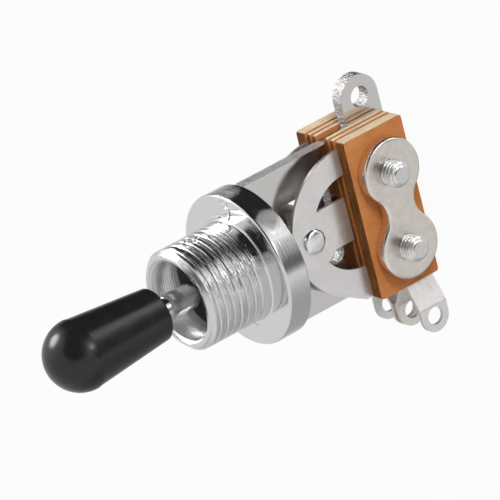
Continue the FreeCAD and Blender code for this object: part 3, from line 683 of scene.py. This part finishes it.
class SWITCH_OT_bushing(bpy.types.Operator):
    """Turn the threaded bushing, with staked slots in its flange and the groove for the pin"""
    bl_idname = "switch.bushing"
    bl_label = "Threaded bushing"

    # Lines in the flange's front face, in millimetres: height, width and points. Staking has raised
    # and torn the metal round the upper tenon, and left a crease at a corner of the lower one.
    STAKED = (
        (-0.10, 0.07, ((1.23, 8.36), (1.22, 7.80), (1.38, 7.30), (1.41, 6.82))),
        (-0.08, 0.07, ((0.33, 7.80), (0.80, 7.70), (1.22, 7.80))),
        (-0.20, 0.10, ((1.40, 6.80), (0.95, 6.50), (0.55, 6.15))),
        (-0.12, 0.08, ((0.47, 6.20), (-0.10, 6.32), (-0.55, 6.22))),
        (-0.20, 0.12, ((-0.80, 6.42), (-1.02, 6.20))),
        (-0.06, 0.08, ((-4.30, 4.70), (-3.60, 5.45), (-2.76, 6.02), (-1.80, 6.36), (-1.25, 6.56),
                       (0.10, 6.66))),
        (0.06, 0.17, ((-4.00, 4.80), (-3.00, 5.50), (-2.10, 5.92), (-1.30, 6.20))),
        (0.04, 0.17, ((-0.60, 6.45), (0.10, 6.46), (0.70, 6.62), (1.10, 6.95))),
        (0.03, 0.35, ((0.20, 7.25), (0.90, 7.35))),
        (0.07, 0.08, ((-0.20, 8.15), (0.50, 8.22), (0.95, 8.02), (0.35, 7.92), (-0.20, 8.15))),
        (-0.09, 0.08, ((-0.36, 8.22), (-0.30, 8.12))),
        (-0.05, 0.22, ((1.65, 7.35), (2.60, 7.45), (3.70, 7.55))),
        (-0.14, 0.09, ((0.00, -6.47), (1.28, -6.48), (1.36, -7.00), (1.42, -7.62))),
        (0.02, 0.20, ((0.90, -6.90), (1.05, -7.40))),
    )

    # Arcs of the turn in degrees, with their steps: fine where the metal is rough
    ARCS = ((-65, 52, 2.4), (52, 142, 0.8), (142, 262, 2.4), (262, 295, 0.8))
    # Degrees over which the mesh's rows climb with the thread. They fall back over the rest.
    CLIMB = (-65, 142)
    # Heights over which the climb fades out below the mouth
    CLIMB_FADE = (6.8, 8.0)
    # Rough patch on the thread: height, degrees, half height and half width
    PATCH = (4.9, 88, 0.95, 0.8)
    # Lumps in the patch and on the flange: count, reach each way, size and seed
    PATCH_LUMPS = (70, 1.1, 0.85, 0.15, 5)
    FLANGE_LUMPS = (60, 1.5, 1.1, 0.13, 11)
    FLANGE_LUMPS_PLACE, FLANGE_LUMPS_HEIGHT = (0.2, 7.0), 0.012

    def profile(self, size):
        """Radius and height along the closed profile, and the stretch that each point lies on."""
        barrel, bore = size.barrel_radius, size.barrel_radius - size.barrel_wall
        rim, top, back = BUSHING_HIGH[0], BUSHING_HIGH[2], FLANGE_LOW[2]
        edge, root, mouth = size.edge_round, size.root_round, size.mouth_chamfer
        collar, lip, back_edge = size.collar, size.bore_chamfer, 0.12
        pieces = {
            "bore": spread((bore, back), (bore, size.ring_end), 12),
            "rings": spread((bore, size.ring_end), (bore, top - lip), 104),
            "mouth": chain([(bore, top - lip), (bore + lip, top), (barrel - mouth, top)], (4, 5)),
            "thread": chain([(barrel - mouth, top), (barrel, top - mouth), (barrel, collar)],
                            (9, 160)),
            "collar": spread((barrel, collar), (barrel, root), 8),
            "root": bend((barrel + root, root), root, 180, 270, 6),
            "front": spread((barrel + root, 0), (rim - edge, 0), 34),
            "edge": bend((rim - edge, -edge), edge, 90, 0, 6),
            "back": chain([(rim, -edge), (rim, back + back_edge), (rim - back_edge, back),
                           (bore, back)], (10, 2, 14)),
        }
        stretch = np.concatenate([[name] * len(run) for name, run in pieces.items()])
        return np.concatenate(list(pieces.values())), stretch

    def angles(self):
        """Angles of the turn's steps in radians, each arc without its end."""
        return np.radians(np.concatenate([
            np.arange(low, high - 1e-6, (high - low) / round((high - low) / step))
            for low, high, step in self.ARCS]))

    def climb(self, size, height, angle):
        """Rise of the rows with the thread, which climbs its pitch in 360 degrees."""
        start, end = self.CLIMB
        swing = np.interp(np.degrees(angle), [start, end, start + 360], [-1, 1, -1])
        free = smooth(height, size.collar, size.collar + 1.2)
        free = free * (1 - smooth(height, *self.CLIMB_FADE))
        return swing * size.thread_pitch * (end - start) / 720 * free

    def thread(self, size, radius, height, angle):
        """Radius of the threaded barrel: the lesser of the profile's and the helix's, with lumps
        times exp(-(u / a)^2 - (v / b)^2) over the rough patch."""
        barrel, collar, pitch = size.barrel_radius, size.collar, size.thread_pitch
        cut = helix_cut(height, angle, pitch, size.thread_depth, size.thread_crest)
        cut = np.minimum(radius, barrel - cut * smooth(height, collar, collar + 0.5 * pitch))
        middle, turn, tall, wide = self.PATCH
        u, v = height - middle, (angle - math.radians(turn)) * barrel
        rough = lumps(u, v, *self.PATCH_LUMPS) * np.exp(-(u / tall) ** 2 - (v / wide) ** 2)
        return np.minimum(cut + rough * size.burr_depth, barrel)

    def rings(self, size, radius, height, angle):
        """Radius of the turned bore: a saw tooth min(p / c, (1 - p) / (1 - c)) of the phase p. Its
        depth varies a little along the bore and round it."""
        crest = 0.72
        phase = np.mod(height / size.ring_pitch + 0.1 * np.sin(2 * angle + height), 1.0)
        tooth = np.minimum(phase / crest, (1 - phase) / (1 - crest))
        tooth *= 0.75 + 0.25 * np.sin(2.3 * height + 1.3 * np.sin(angle))
        start, end = size.ring_end, BUSHING_HIGH[2] - size.bore_chamfer
        live = smooth(height, start, start + 0.1) * (1 - smooth(height, end - 0.15, end))
        return radius + size.ring_depth * tooth * live

    def execute(self, context):
        size, colours = in_mm(context.scene.switch_bushing), context.scene.switch_finish
        profile, stretch = self.profile(size)
        on_thread, on_rings, on_front = (
            (stretch == name)[:, None] for name in ("thread", "rings", "front"))
        radius, height, angle = turned(profile, self.angles())
        height = height + self.climb(size, height, angle) * on_thread
        rings = np.where(on_rings, self.rings(size, radius, height, angle), radius)
        radius = np.where(on_thread, self.thread(size, radius, height, angle), rings)
        grid = wrapped(radius, height, angle)
        x, y = grid[..., 0], grid[..., 1]
        across, up = self.FLANGE_LUMPS_PLACE
        rough = self.FLANGE_LUMPS_HEIGHT * lumps(x - across, y - up, *self.FLANGE_LUMPS)
        grid[..., 2] += np.where(on_front, line_marks(x, y, self.STAKED) + rough, 0.0)
        mesh = soften(self.carve(grid_mesh("bushing_turned", grid, ring=True), size))
        chrome = chrome_finish(colours)
        add_piece("bushing_turned", mesh, "frame", "bushing_chrome", chrome, "bushing")
        return {"FINISHED"}

    def carve(self, mesh, size):
        """Cuts the pin's groove and the two tenon slots out of the flange's back. The slots end
        under a thin skin of staked metal."""
        gap, fit, corner, below = size.clearance, 0.02, 0.35, FLANGE_LOW[2] - 1
        pin, reach = (PIN_HIGH[2] - PIN_LOW[2]) / 2 + fit, PIN_HIGH[1] + fit
        turn = np.linspace(math.pi, 0, 25)
        arch = np.stack([pin * np.cos(turn), PIVOT + pin * np.sin(turn)], axis=1)
        groove = np.concatenate([[(-pin, below)], arch, [(pin, below)]])
        cutters = [prism([(x, -reach, z) for x, z in groove], (0, 2 * reach, 0))]
        half, inner = size.tenon_thickness / 2 + gap - corner, size.tenon_inner - gap + corner
        outer = size.tenon_inner + size.tenon_width + gap - corner
        centres = ((half, outer), (-half, outer), (-half, inner), (half, inner))
        outline = np.concatenate([bend(centre, corner, start, start + 91, 6)
                                  for centre, start in zip(centres, (0, 90, 180, 270))])
        for sign in (1, -1):
            foot = [(x, sign * y, below) for x, y in outline]
            cutters.append(prism(foot, (0, 0, -below - size.skin)))
        return cut_out(mesh, cutters)


class SWITCH_OT_screws(bpy.types.Operator):
    """Turn the two clamp screws with threaded ends and cross-recessed pan heads"""
    bl_idname = "switch.screws"
    bl_label = "Clamp screws"

    def execute(self, context):
        size, colours = in_mm(context.scene.switch_screw), context.scene.switch_finish
        material = screw_finish(colours)
        radius, head, end, edge = size.radius, size.head_radius, size.tip_radius, size.head_round
        tip, crown, threaded_from = SCREW_HIGH[0], SCREW_LOW[0], PLATE_LOW[0] + 0.4
        seat = crown + size.head_height
        # The tip: a flat end, its edge, and the step where the last groove runs out
        corners = [
            (0, tip), (end - 0.06, tip), (end, tip - 0.06), (end + 0.22, tip - 0.2),
            (end + 0.24, tip - 0.3), (radius, tip - size.tip_chamfer), (radius, threaded_from),
            (radius, seat), (head, seat), (head, crown + edge),
        ]
        profile = np.concatenate([
            chain(corners, (8, 3, 4, 3, 6, 90, 12, 6, 6)),
            bend((head - edge, crown + edge), edge, 0, -90, 10),
            spread((head - edge, crown), (0, crown), 44),
            [(0.0, crown)],
        ])
        for label, lead in (("top", 0.6), ("bottom", -0.6)):
            node = "clamp_screw_" + label
            low, high = box_mm(node)
            around, along, angle = turned(profile, SCREW_STEPS)
            angle = angle + lead
            cut = helix_cut(along, angle, size.thread_pitch, size.thread_depth, crest=0.15)
            cut = radius - cut * smooth(along, threaded_from, threaded_from + 0.3)
            around = np.where(along > seat + 0.2, np.minimum(around, cut), around)
            along = along + self.recess(around, angle, size) * (along < crown + 1e-6)
            grid = laid(wrapped(around, along, angle), (low + high) / 2)
            mesh = soften(grid_mesh("screw_" + label, grid, ring=False), 40.0)
            add_piece("screw_" + label, mesh, "frame", "screw_zinc", material, node)
        return {"FINISHED"}

    def recess(self, around, angle, size):
        """Depth of a tapered cross: the larger of two arms, each 1 inside its width and span."""
        a, b = around * np.cos(angle), around * np.sin(angle)
        half, span = size.recess_width / 2, size.recess_span
        arms = []
        for across, down in ((a, b), (b, a)):
            wall = 1 - smooth(np.abs(across), half * 0.75, half * 1.15)
            end = 1 - smooth(np.abs(down), span * 0.45, span)
            arms.append(wall * end)
        return np.maximum(*arms) * size.recess_depth


class SWITCH_OT_lever(bpy.types.Operator):
    """Mould the cap, turn the lever with its blade, and finish the pin"""
    bl_idname = "switch.lever"
    bl_label = "Lever and cap"

    def execute(self, context):
        scene, colours = context.scene, context.scene.switch_finish
        cap, lever = self.cap(in_mm(scene.switch_cap)), self.lever(in_mm(scene.switch_lever))
        add_piece("cap_moulded", cap, "lever", "tip_black", cap_finish(colours), "lever_tip")
        add_piece("lever_turned", lever, "lever", "lever_chrome", lever_finish(colours), "lever")
        dress(pin_finish(colours), "pivot_pin")
        return {"FINISHED"}

    def cap(self, size):
        """Cap turned about Z: a blind socket, a rounded foot, a side that widens to a small rim,
        and half a sphere."""
        base, top, rim = CAP_LOW[2], CAP_HIGH[2], CAP_HIGH[0]
        shoulder, socket_top = top - rim, top - size.socket_margin
        foot, socket, edge, step = size.base_radius, size.socket_radius, size.base_round, size.rim
        inside = [(0, socket_top), (socket, socket_top), (socket, base), (foot - edge, base)]
        side = [(foot, base + edge), (rim - step, shoulder - step), (rim, shoulder)]
        profile = np.concatenate([
            chain(inside, (3, 20, 8)), bend((foot - edge, base + edge), edge, -90, 0, 10),
            chain(side, (50, 3)), bend((0, shoulder), rim, 0, 90, 36), [(0.0, top)],
        ])
        grid = wrapped(*turned(profile, CAP_STEPS))
        return soften(grid_mesh("cap_moulded", grid, ring=False), 35.0)

    def lever(self, size):
        """Rod, ball and blade as one skin. At each height the radius at polar angle t is the larger
        of a circle's radius r(z) and of a rectangle's min(a / |cos t|, b / |sin t|). The circle is
        the rod, then the ball's sqrt(R^2 - z^2), and the rectangle is the blade below the pivot."""
        top, tip, wide, half = LEVER_HIGH[2], LEVER_LOW[2], LEVER_HIGH[1], size.thickness / 2
        ball, cap, shoulder = size.ball_radius, CAP_LOW[2], CAP_LOW[2] - size.shoulder
        neck_end = PIVOT - size.neck_length
        wide_start = neck_end - size.taper
        meet = PIVOT + math.sqrt(ball ** 2 - size.rod_radius ** 2)
        end, under_cap = 0.6, 0.02
        swing = np.arcsin(min(1.0, (meet - PIVOT) / ball))
        height = np.concatenate([
            *(np.linspace(*run, endpoint=False) for run in (
                (top, cap + under_cap, 10), (cap + under_cap, cap, 3), (cap, shoulder, 8),
                (shoulder, meet, 14))),
            PIVOT + ball * np.sin(np.linspace(swing, -0.5 * math.pi, 60, endpoint=False)),
            np.linspace(PIVOT - ball, wide_start, 10, endpoint=False),
            np.linspace(wide_start, tip + end, 6, endpoint=False),
            tip + end * (1 - np.sin(np.linspace(0, 0.5 * math.pi, 14))),
        ])
        deep, left = PIVOT - height, height - tip
        fall = np.clip((height - shoulder) / (cap - shoulder), 0, 1) * (height <= cap + 0.01)
        circle = np.where(height >= meet, size.rod_radius - fall * size.relief,
                          np.sqrt(np.clip(ball ** 2 - deep ** 2, 0, None)))
        breadth = np.interp(deep, [PIVOT - neck_end, PIVOT - wide_start], [size.neck, wide])
        breadth -= self.rounding(left, size.corner)
        depth = half - self.rounding(left, size.tip_round)
        turn = np.arange(LEVER_STEPS) * 2 * math.pi / LEVER_STEPS
        skew = 1 + (wide / half - 1) * smooth(deep, 0.0, 2.6)[:, None]
        angle = np.arctan2(skew * np.sin(turn), np.cos(turn) + 1e-12)
        box = np.minimum(depth[:, None] / np.maximum(np.abs(np.cos(angle)), 1e-9),
                         breadth[:, None] / np.maximum(np.abs(np.sin(angle)), 1e-9))
        radius = np.maximum(circle[:, None], np.where(deep[:, None] > 0, box, 0.0))
        skin = np.stack([radius, np.repeat(height[:, None], LEVER_STEPS, axis=1), angle], axis=-1)
        # Each end closes with rows that shrink to a point
        shares = [(part, 1.0, 1.0) for part in (0.0, 0.5, 0.98)]
        first = [skin[:1] * share for share in shares]
        last = [skin[-1:] * share for share in reversed(shares)]
        grid = wrapped(*np.moveaxis(np.concatenate(first + [skin] + last), -1, 0))
        mesh = grid_mesh("lever_turned", grid, ring=False)
        turn, hole = np.linspace(0, 2 * math.pi, 48, endpoint=False), size.hole_radius
        outline = [(hole * math.cos(t), -ball - 1, PIVOT + hole * math.sin(t)) for t in turn]
        return soften(cut_out(mesh, [prism(outline, (0, 2 * ball + 2, 0))]))

    def rounding(self, left, radius):
        """Inset r - sqrt(r^2 - (r - h)^2) of a rounded end at a height h above it."""
        return radius - np.sqrt(radius ** 2 - np.clip(radius - left, 0, radius) ** 2)


class SWITCH_OT_metal(bpy.types.Operator):
    """Plate the frame, the leaves, the contacts and the clamp plate"""
    bl_idname = "switch.metal"
    bl_label = "Sheet metal"

    def execute(self, context):
        colours = context.scene.switch_finish
        dress(frame_finish(colours), "frame_plate")
        dress(clamp_finish(colours), "clamp_plate")
        moving = leaf_finish("moving_leaf_finish", colours.leaf)
        fixed = leaf_finish("fixed_leaf_finish", colours.fixed_leaf)
        silver = contact_finish(colours)
        for side in ("near", "far"):
            dress(moving, "moving_leaf_" + side)
            dress(fixed, "fixed_leaf_" + side)
            dress(silver, "fixed_contact_" + side)
            node = "moving_contact_" + side
            mesh = self.rivet(in_mm(context.scene.switch_rivet), *box_mm(node))
            add_piece("rivet_" + side, mesh, "frame", "contact_silver", silver, node)
        return {"FINISHED"}

    def rivet(self, size, low, high):
        """Contact rivet: a button, a shank and a low head, turned about an axis along X. The head
        is a rounded side and a shallow dome, which falls with the square of the radius."""
        side = 1 if high[0] > 0 else -1
        inner, outer = sorted((abs(low[0]), abs(high[0])))
        head, edge, button, shank = (high[1] - low[1]) / 2, size.edge, size.button, size.shank
        seat, crown = outer - size.seat, outer - size.drop
        leaf = seat - size.leaf
        corners = [(0, inner), (button, inner), (button, leaf), (shank, leaf), (shank, seat),
                   (head, seat)]
        turn, wide = np.linspace(0, np.pi / 2, 16), np.linspace(head - edge, 0, 12)
        bulge = [head - edge * (1 - np.cos(turn)), seat + (crown - seat) * np.sin(turn)]
        dome = [wide, crown + size.sag * (1 - (wide / (head - edge)) ** 2)]
        rounded = np.concatenate([bulge, dome], axis=1).T
        profile = np.concatenate([chain(corners, (6, 4, 3, 4, 5)), rounded])
        grid = laid(wrapped(*turned(profile, RIVET_STEPS)), (low + high) / 2, side)
        return soften(grid_mesh("rivet", grid, ring=False), 40.0)


class SWITCH_OT_wafers(bpy.types.Operator):
    """Finish the phenolic wafers and the screws' sleeves"""
    bl_idname = "switch.wafers"
    bl_label = "Phenolic wafers"

    def execute(self, context):
        colours = context.scene.switch_finish
        phenolic = phenolic_finish(colours)
        for side in ("near", "far"):
            dress(phenolic, *[f"wafer_{side}_{number}" for number in range(1, 5)])
        dress(sleeve_finish(colours), "insulating_sleeve_top", "insulating_sleeve_bottom")
        return {"FINISHED"}


# Zones of the room that metal reflects: direction, inner and outer half angle in degrees, level
STUDIO_ZONES = {
    "right_softbox": ((0.85, 0.48, -0.23), 14, 29, 0.55),
    "right_lamp": ((0.84, 0.48, -0.245), 4, 10, 7.0),
    "dim_right": ((0.85, 0.17, -0.50), 12, 26, -0.85),
    "overhead_strip": ((0.34, 0.58, -0.74), 4, 16, 3.2),
    "left_softbox": ((-0.66, 0.56, 0.50), 18, 42, 0.35),
    "left_lamp": ((-0.73, 0.56, 0.40), 8, 17, 14.0),
    "dark_behind_camera": ((0.52, 0.66, 0.53), 24, 44, -1.0),
    "dark_above": ((0.25, 0.93, 0.15), 20, 40, -1.0),
    "dark_overhead": ((-0.25, 0.80, -0.55), 30, 56, -1.05),
    "dim_left": ((-0.85, 0.28, -0.45), 12, 30, -0.5),
    "dim_below": ((0.06, -0.86, -0.50), 20, 62, -0.5),
}
DARKEST = 0.03

# Lamps: direction, distance and size
LAMPS = {
    "key": ((0.60, 0.80, 0.02), 0.7, 0.25),
    "front": ((0.46, 0.58, 0.67), 0.7, 0.3),
    "fill": ((-0.55, 0.35, 0.75), 0.8, 0.6),
}

# The photograph's view, fitted to the part's outlines
CAMERA_PLACE = (0.683893, 0.332089, 0.439635)
CAMERA_AXES = ((0.60433, -0.23083, -0.76257), (-0.17082, 0.89732, -0.40699),
               (0.77821, 0.37622, 0.50284))
CAMERA_LENS, CAMERA_SENSOR = 573.45, 36.0


class SWITCH_OT_stage(bpy.types.Operator):
    """Set the floor, the lamps, the room and the camera"""
    bl_idname = "switch.stage"
    bl_label = "Stage"

    def execute(self, context):
        studio, colours = context.scene.switch_studio, context.scene.switch_finish
        context.scene.view_settings.view_transform = "Standard"
        self.camera(context)
        self.floor(context, studio, colours)
        self.room(context, studio)
        for name, place in LAMPS.items():
            self.lamp(name + "_lamp", *place, getattr(studio, name))
        return {"FINISHED"}

    def camera(self, context):
        """Camera with a long lens, from the near side, above and in front."""
        data = bpy.data.cameras.new("camera")
        data.sensor_width, data.lens, data.clip_end = CAMERA_SENSOR, CAMERA_LENS, 20.0
        camera = bpy.data.objects.new("camera", data)
        turn = Matrix(CAMERA_AXES).transposed().to_4x4()
        camera.matrix_world = Matrix.Translation(CAMERA_PLACE) @ turn
        context.scene.collection.objects.link(camera)
        context.scene.camera = camera

    def floor(self, context, studio, colours):
        """Wide white floor under the part, with its shadow. Metal sees the room through it."""
        reach, low = 3.0, CAD_BOX[0][2] - 0.0001
        mesh = bpy.data.meshes.new("floor")
        corners = [(x * reach, y * reach, low) for x, y in ((-1, -1), (1, -1), (1, 1), (-1, 1))]
        mesh.from_pydata(corners, [], [(0, 1, 2, 3)])
        floor = bpy.data.objects.new("floor", mesh)
        context.scene.collection.objects.link(floor)
        material = bpy.data.materials.new("floor_finish")
        material.use_nodes = True
        web = Web(material.node_tree)
        web.tree.nodes.clear()
        path = web.add("LightPath")
        matte = web.add("BsdfDiffuse", {"Color": colours.floor}).outputs[0]
        white = web.add("Emission", {"Color": (1.0, 1.0, 1.0)}).outputs[0]
        clear = web.add("BsdfTransparent").outputs[0]
        share = web.times(path.outputs["Is Camera Ray"], studio.backdrop)
        backed = web.mix_shaders(share, matte, white)
        web.add("OutputMaterial", {"Surface": web.mix_shaders(web.reflected(path), backed, clear)})
        mesh.materials.append(material)

    def room(self, context, studio):
        """White for the camera. Reflections see the same white room with bright and dark zones.
        Diffuse light comes evenly from all round, also where it first strikes metal."""
        world = bpy.data.worlds.new("studio_room")
        context.scene.world = world
        world.use_nodes = True
        web = Web(world.node_tree)
        web.tree.nodes.clear()
        where = web.add("TexCoord").outputs["Generated"]
        total = studio.base
        for direction, inner, outer, amount in STUDIO_ZONES.values():
            ends = {0: where, 1: Vector(direction).normalized()}
            aim = web.add("VectorMath", ends, operation="DOT_PRODUCT")
            low, high = (math.cos(math.radians(angle)) for angle in (outer, inner))
            zone = web.span(aim.outputs["Value"], low, high, 0.0, amount, "SMOOTHSTEP")
            total = web.plus(zone, total)
        room = web.add("Background", {"Strength": web.maths("MAXIMUM", total, DARKEST)}).outputs[0]
        path = web.add("LightPath")
        even = web.span(path.outputs["Is Camera Ray"], 0.0, 1.0, studio.ambient, 1.0)
        seen = web.add("Background", {"Strength": even}).outputs[0]
        first = web.maths("LESS_THAN", path.outputs["Diffuse Depth"], 0.5)
        mixed = web.mix_shaders(web.times(first, web.reflected(path)), seen, room)
        web.add("OutputWorld", {"Surface": mixed})

    def lamp(self, name, direction, distance, size, amount):
        """Square soft lamp. Its power gives a facing white surface the stated level."""
        data = bpy.data.lights.new(name, "AREA")
        data.size = size
        data.energy = amount * math.pi ** 2 * distance ** 2
        lamp = bpy.data.objects.new(name, data)
        aim = Vector(direction).normalized()
        turn = aim.to_track_quat("Z", "Y").to_matrix().to_4x4()
        lamp.matrix_world = Matrix.Translation(aim * distance) @ turn
        lamp.visible_glossy = False
        lamp.visible_camera = False
        bpy.context.scene.collection.objects.link(lamp)


class SWITCH_PT_panel(bpy.types.Panel):
    """Sidebar panel with a button for each step"""
    bl_idname = "SWITCH_PT_panel"
    bl_label = "Selector Toggle Switch"
    bl_space_type = "VIEW_3D"
    bl_region_type = "UI"
    bl_category = "Switch"

    def draw(self, context):
        for operator in OPERATORS:
            self.layout.operator(operator.bl_idname)
        for name in GROUPS:
            settings = getattr(context.scene, name)
            column = self.layout.column()
            for key in settings.__annotations__:
                column.prop(settings, key)


OPERATORS = (SWITCH_OT_stage, SWITCH_OT_bushing, SWITCH_OT_screws, SWITCH_OT_lever, SWITCH_OT_metal,
             SWITCH_OT_wafers)
GROUPS = {
    "switch_bushing": SwitchBushing,
    "switch_lever": SwitchLever,
    "switch_screw": SwitchScrew,
    "switch_rivet": SwitchRivet,
    "switch_cap": SwitchCap,
    "switch_finish": SwitchFinish,
    "switch_studio": SwitchStudio,
}


def register():
    for group in GROUPS.values():
        bpy.utils.register_class(group)
    for name, group in GROUPS.items():
        setattr(bpy.types.Scene, name, PointerProperty(type=group))
    for operator in OPERATORS:
        bpy.utils.register_class(operator)
    bpy.utils.register_class(SWITCH_PT_panel)


def unregister():
    bpy.utils.unregister_class(SWITCH_PT_panel)
    for operator in reversed(OPERATORS):
        bpy.utils.unregister_class(operator)
    for name, group in GROUPS.items():
        delattr(bpy.types.Scene, name)
        bpy.utils.unregister_class(group)


def main():
    """Registers the add-on and makes every piece in order."""
    register()
    for operator in OPERATORS:
        family, step = operator.bl_idname.split(".")
        getattr(getattr(bpy.ops, family), step)()


if __name__ == "__main__":
    main()
